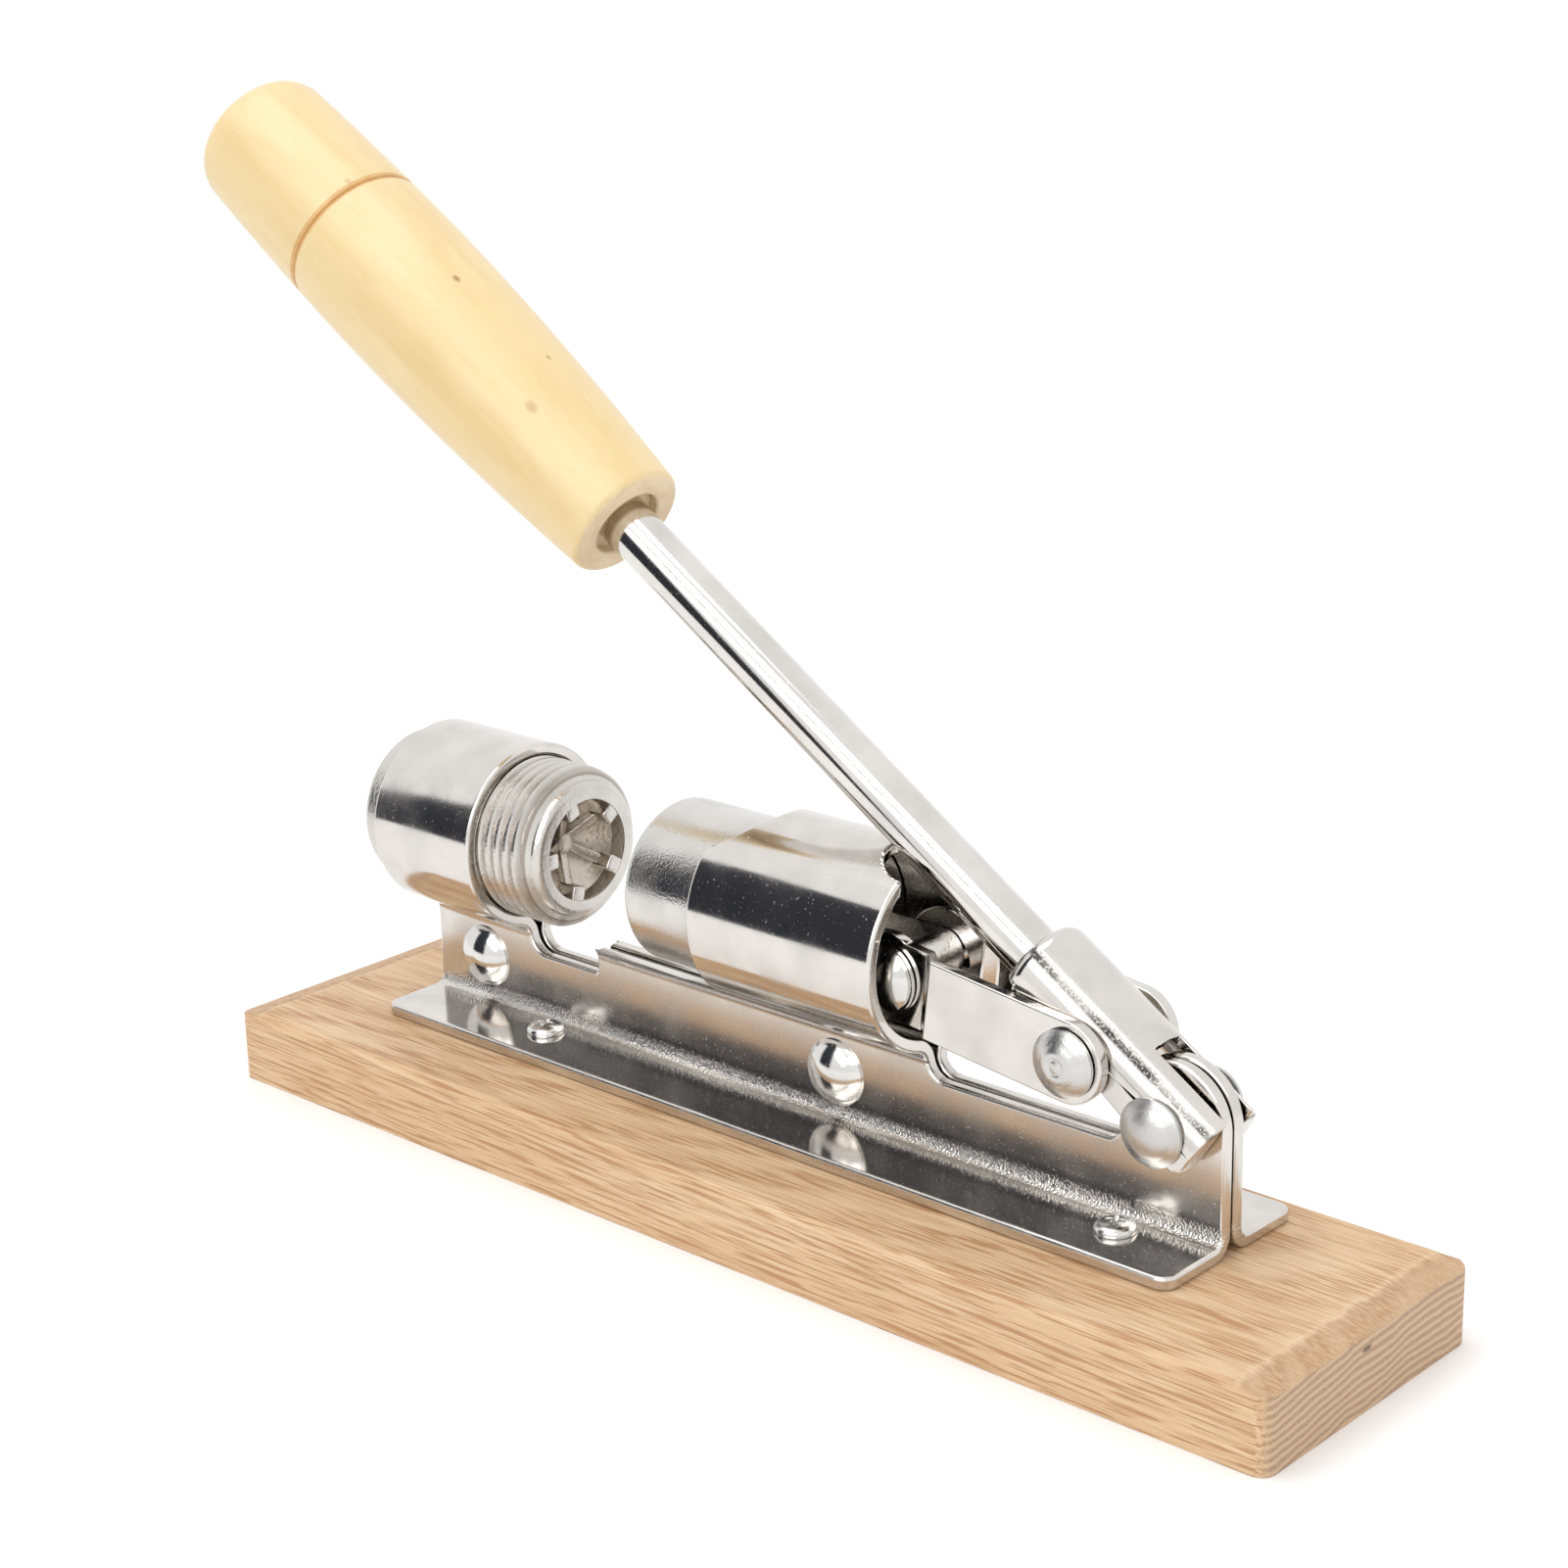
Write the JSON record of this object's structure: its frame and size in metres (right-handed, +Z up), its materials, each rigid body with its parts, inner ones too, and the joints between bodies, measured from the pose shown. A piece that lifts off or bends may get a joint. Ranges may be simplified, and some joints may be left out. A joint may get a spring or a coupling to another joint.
{
  "type": "lever nutcracker press",
  "caption": "Bench nutcracker on a wooden base: a hinged lever with a turned grip drives a sliding ram through links towards a screw-in anvil cup, across an open gap for the nut.",
  "frame": {"origin": "middle of the wooden base's underside", "axes": "+X along the base towards the lever's pivot, +Y to the side the body is offset to, +Z up from the resting face"},
  "size_m": [0.2746, 0.06, 0.1966],
  "materials": {
    "oak": "oiled, open grain",
    "grip_wood": "clear lacquer",
    "nickel_sheet": "bright nickel plate",
    "nickel_rod": "polished nickel plate",
    "cast_anvil": "nickel plate over a rough casting",
    "ram_steel": "plated, grainy",
    "rivet_steel": "bright nickel plate",
    "dull_rivet": "satin, hammered heads",
    "screw_steel": "bright zinc plate"
  },
  "bodies": {
    "frame": {"wooden_base": "oak", "body_shell": "nickel_sheet", "front_clamp_rivet": "rivet_steel", "rear_clamp_rivet": "rivet_steel", "near_front_screw": "screw_steel", "far_front_screw": "screw_steel", "near_rear_screw": "screw_steel", "far_rear_screw": "screw_steel"},
    "anvil_carrier": {"anvil_plug": "cast_anvil"},
    "anvil": {"anvil_barrel": "cast_anvil"},
    "ram": {"ram": "ram_steel", "ram_pin": "rivet_steel", "near_ram_washer": "rivet_steel", "far_ram_washer": "rivet_steel"},
    "lever": {"link_rivet": "dull_rivet", "yoke": "nickel_sheet", "near_pivot_spacer": "rivet_steel", "far_pivot_spacer": "rivet_steel", "pivot_rivet": "dull_rivet", "lever_rod": "nickel_rod", "handle_grip": "grip_wood"},
    "links": {"near_link": "nickel_sheet", "far_link": "nickel_sheet"}
  },
  "joints": [
    {"name": "lever_swing", "type": "hinge", "parent": "frame", "child": "lever", "pos_m": [0.0836, 0.0054, 0.0374], "axis": [0, 1, 0], "range_deg": [0, 60]},
    {"name": "link_swing", "type": "hinge", "parent": "lever", "child": "links", "pos_m": [0.0676, 0.0054, 0.0463], "axis": [0, 1, 0], "range_deg": [-73.3, 0.1]},
    {"name": "ram_slide", "type": "slide", "parent": "frame", "child": "ram", "axis": [1, 0, 0], "range_m": [-0.00002, 0.01575]},
    {"name": "anvil_travel", "type": "slide", "parent": "frame", "child": "anvil_carrier", "axis": [1, 0, 0], "range_m": [-0.00751, 0.01001]},
    {"name": "anvil_turn", "type": "hinge", "parent": "anvil_carrier", "child": "anvil", "pos_m": [-0.057, 0.0054, 0.0539], "axis": [1, 0, 0], "range_deg": [-1080, 1440]}
  ],
  "couplings": [
    {"joint": "ram_slide", "follows": "lever_swing", "m_per_rad": 0.015007},
    {"joint": "link_swing", "follows": "lever_swing", "ratio": -1.2203},
    {"joint": "anvil_travel", "follows": "anvil_turn", "m_per_rad": 0.00039789}
  ]
}
